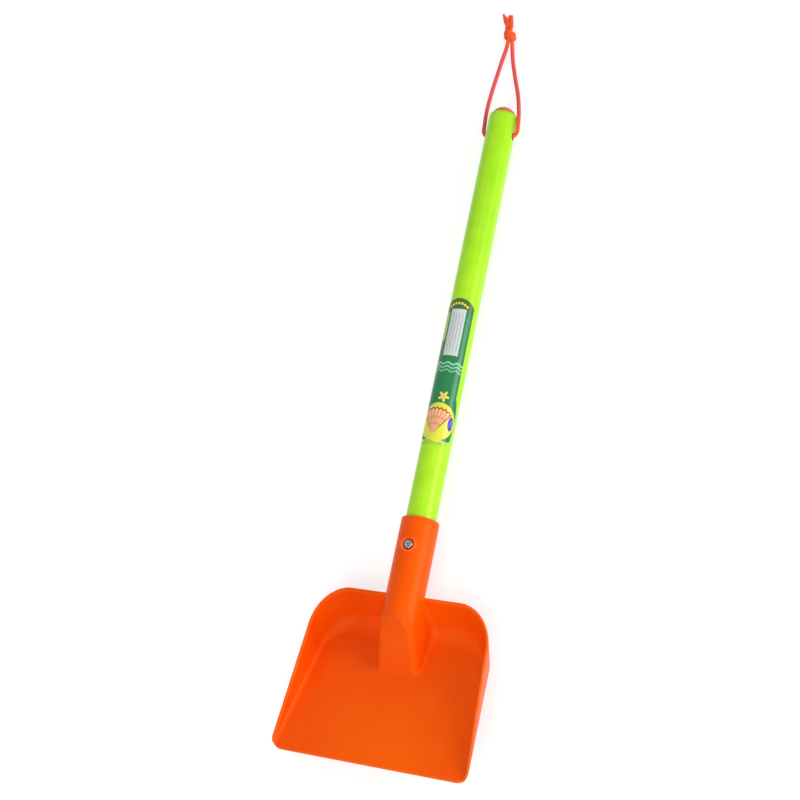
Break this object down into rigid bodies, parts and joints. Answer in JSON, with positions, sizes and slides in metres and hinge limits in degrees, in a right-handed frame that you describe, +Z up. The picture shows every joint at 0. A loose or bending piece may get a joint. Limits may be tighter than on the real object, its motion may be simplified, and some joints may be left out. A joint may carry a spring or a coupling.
{
  "type": "sand shovel",
  "caption": "Child's sand shovel: a moulded scoop with a socket, a straight covered shaft with a domed cap, and a knotted hanging loop of cord.",
  "frame": {"origin": "middle of the bounding box of the shovel without its cord, on the ground it lies on", "axes": "+Y along the shaft towards the cap, +Z up out of the scoop's open side, +X to the right across the scoop"},
  "size_m": [0.1458, 0.5901, 0.0372],
  "materials": {
    "orange_plastic": "satin moulded plastic",
    "steel": "plain drawn steel",
    "lime_plastic": "glossy covering",
    "cap_plastic": "satin moulded plastic",
    "screw_steel": "bright plated steel",
    "label_film": "glossy printed film",
    "cord": "braided cord"
  },
  "bodies": {
    "shovel": {"blade": "orange_plastic", "shaft_tube": "steel", "shaft_sleeve": "lime_plastic", "end_cap": "cap_plastic", "socket_screw": "screw_steel", "label": "label_film"},
    "hang_loop": {"cord_through": "cord", "cord_left": "cord", "cord_right": "cord", "cord_knot": "cord", "cord_tails": "cord"}
  },
  "joints": [
    {"name": "loop_swing", "type": "hinge", "parent": "shovel", "child": "hang_loop", "pos_m": [0, 0.22656, 0.01151], "axis": [1, 0, 0], "range_deg": [-140, 140]}
  ]
}
